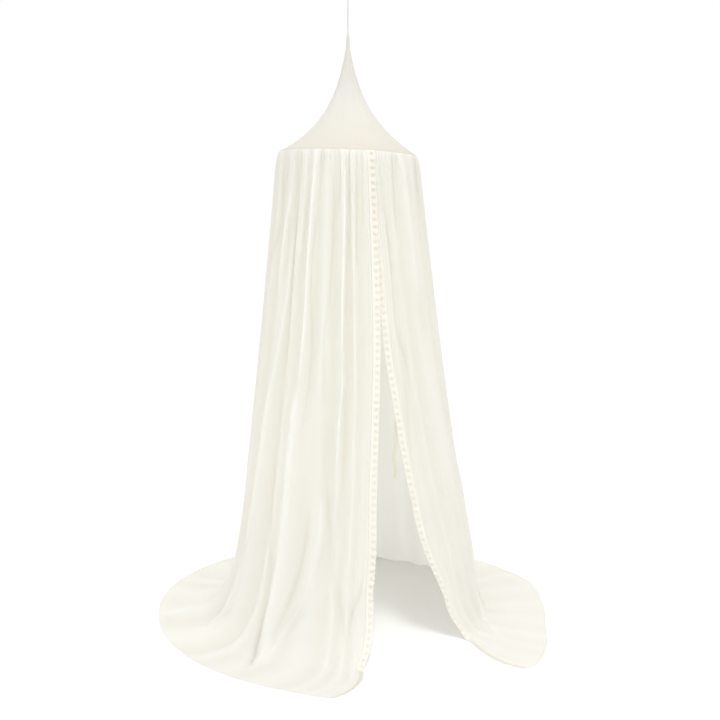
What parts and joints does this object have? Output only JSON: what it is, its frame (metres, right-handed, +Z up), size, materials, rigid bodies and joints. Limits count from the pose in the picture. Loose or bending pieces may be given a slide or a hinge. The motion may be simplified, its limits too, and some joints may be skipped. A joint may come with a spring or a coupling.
{
  "type": "lace-trimmed bed canopy with hoop",
  "caption": "Long gathered voile bed canopy with lace-edged front opening, pointed crown, inner hoop and hanging cord, its train spread on the floor.",
  "frame": {"origin": "inner top of the hanging cord's loop, where a hook bears", "axes": "+Z up along the hanging cord, -Y to the front, where the opening is, +X to the right seen from the front"},
  "size_m": [1.4992, 1.5069, 2.3129],
  "materials": {
    "drape_cloth": "sheer cotton voile",
    "crown_cloth": "matt cotton",
    "lace": "matt cotton lace",
    "cord_cotton": "braided",
    "hoop_steel": "white paint"
  },
  "bodies": {
    "root": {"hoop": "hoop_steel", "crown": "crown_cloth", "drape": "drape_cloth", "lace_left": "lace", "lace_right": "lace", "tie": "lace", "hanging_cord": "cord_cotton"}
  },
  "joints": []
}
